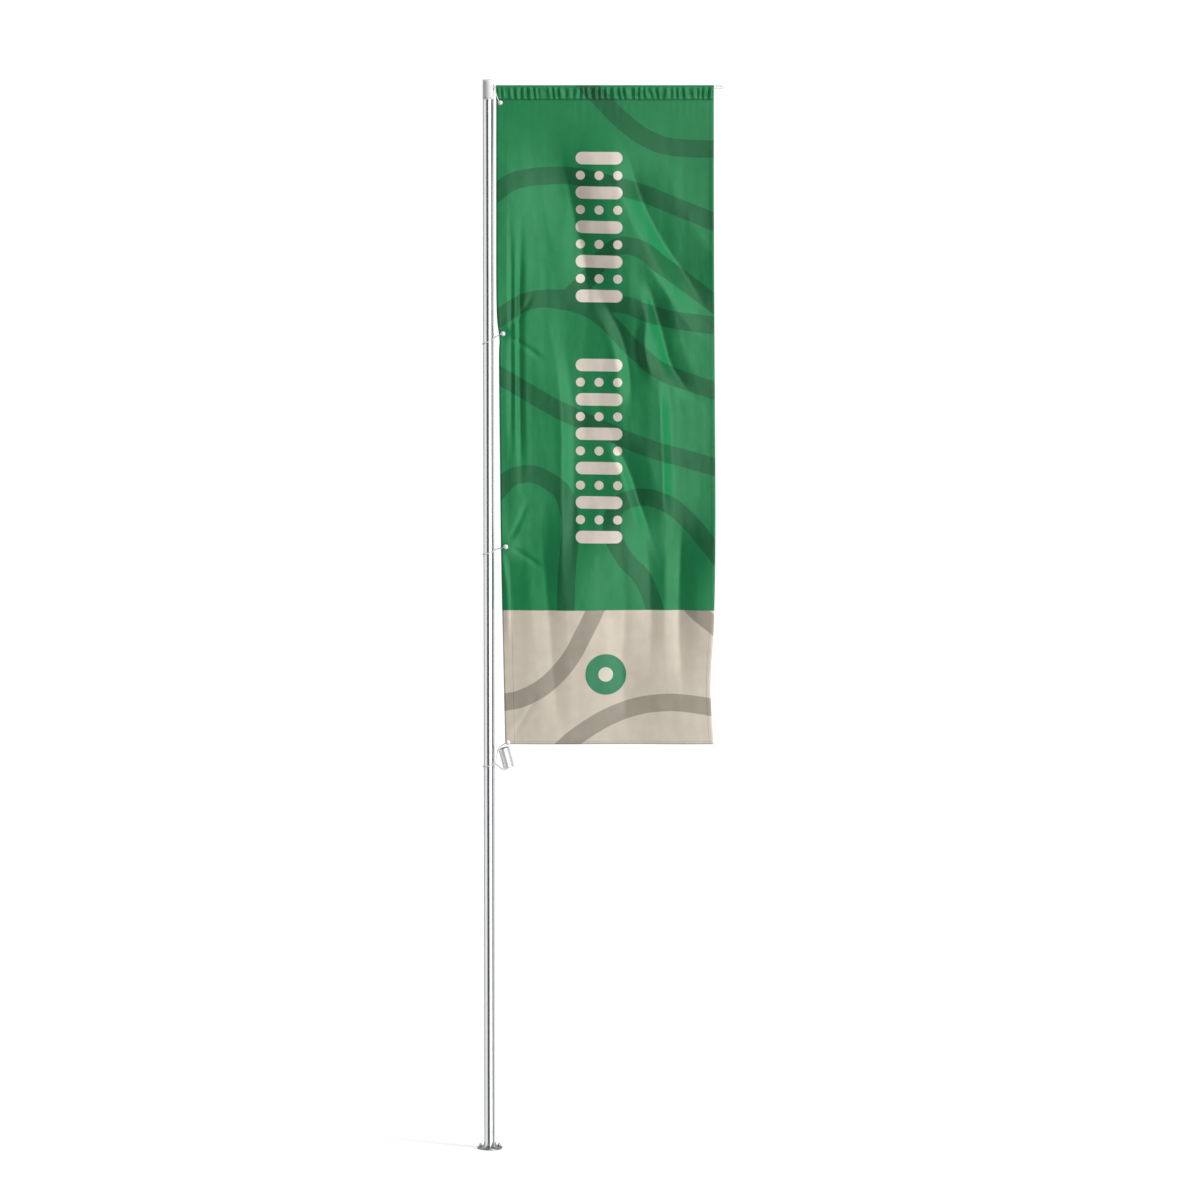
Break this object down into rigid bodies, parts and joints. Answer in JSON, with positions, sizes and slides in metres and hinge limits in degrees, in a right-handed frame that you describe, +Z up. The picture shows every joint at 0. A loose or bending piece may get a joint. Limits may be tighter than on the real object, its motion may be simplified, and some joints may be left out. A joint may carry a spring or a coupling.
{
  "type": "banner flag",
  "caption": "Rectangular banner hung from the straight arm of a turning mast head, held to a bolted-down mast by elastic ball ties and a hanging tubular weight.",
  "frame": {"origin": "centre of the base flange's underside, on the mast's axis", "axes": "+Z up the mast, +X along the arm towards its free end, +Y square to the banner, towards its back"},
  "size_m": [1.1428, 0.117, 5.0045],
  "materials": {
    "anodised_aluminium": "satin",
    "brushed_stainless": "satin",
    "stainless_fastener": "satin",
    "natural_nylon": "matte",
    "white_moulded_head": "satin",
    "printed_polyester": "matte",
    "nickel_eyelet": "polished",
    "white_moulded_ball": "satin",
    "white_elastic": "matte",
    "turned_steel": "satin",
    "grey_liner": "matte"
  },
  "bodies": {
    "mast": {"base_flange": "brushed_stainless", "mast_tube": "anodised_aluminium", "upper_bush": "natural_nylon", "lower_bush": "natural_nylon", "thrust_washer": "natural_nylon", "foot_set_screw": "stainless_fastener", "anchor_stud_1": "stainless_fastener", "base_washer_1": "stainless_fastener", "cap_nut_1": "stainless_fastener", "anchor_stud_2": "stainless_fastener", "base_washer_2": "stainless_fastener", "cap_nut_2": "stainless_fastener", "anchor_stud_3": "stainless_fastener", "base_washer_3": "stainless_fastener", "cap_nut_3": "stainless_fastener", "anchor_stud_4": "stainless_fastener", "base_washer_4": "stainless_fastener", "cap_nut_4": "stainless_fastener", "anchor_stud_5": "stainless_fastener", "base_washer_5": "stainless_fastener", "cap_nut_5": "stainless_fastener", "anchor_stud_6": "stainless_fastener", "base_washer_6": "stainless_fastener", "cap_nut_6": "stainless_fastener"},
    "head": {"head_cap": "white_moulded_head", "head_stem": "stainless_fastener", "retaining_ring": "stainless_fastener", "arm_set_screw": "stainless_fastener", "stem_set_screw": "stainless_fastener", "arm_tube": "anodised_aluminium", "arm_end_cap": "brushed_stainless", "banner_cloth": "printed_polyester", "banner_sleeve": "printed_polyester", "eyelet_1": "nickel_eyelet", "tie_ball_1": "white_moulded_ball", "eyelet_2": "nickel_eyelet", "tie_ball_2": "white_moulded_ball", "eyelet_3": "nickel_eyelet", "tie_ball_3": "white_moulded_ball", "eyelet_4": "nickel_eyelet", "tie_ball_4": "white_moulded_ball", "top_tie": "white_elastic", "side_tie_1": "white_elastic", "side_tie_2": "white_elastic", "weight_tie_top": "white_elastic", "weight_tie_loop": "white_elastic"},
    "weight_link": {"weight_tie_bore": "white_elastic"},
    "weight": {"weight_sleeve": "turned_steel", "weight_bush_top": "grey_liner", "weight_bush_bottom": "grey_liner"}
  },
  "joints": [
    {"name": "head_spin", "type": "hinge", "parent": "mast", "child": "head", "pos_m": [0, 0, 4.968], "axis": [0, 0, 1], "continuous": true},
    {"name": "weight_swing", "type": "hinge", "parent": "head", "child": "weight_link", "pos_m": [0.0785, 0, 1.902], "axis": [0, 1, 0], "range_deg": [-15, 0]},
    {"name": "weight_spin", "type": "hinge", "parent": "weight_link", "child": "weight", "pos_m": [0.0797, 0, 1.8465], "axis": [-0.2504, 0, 0.9681], "continuous": true}
  ]
}
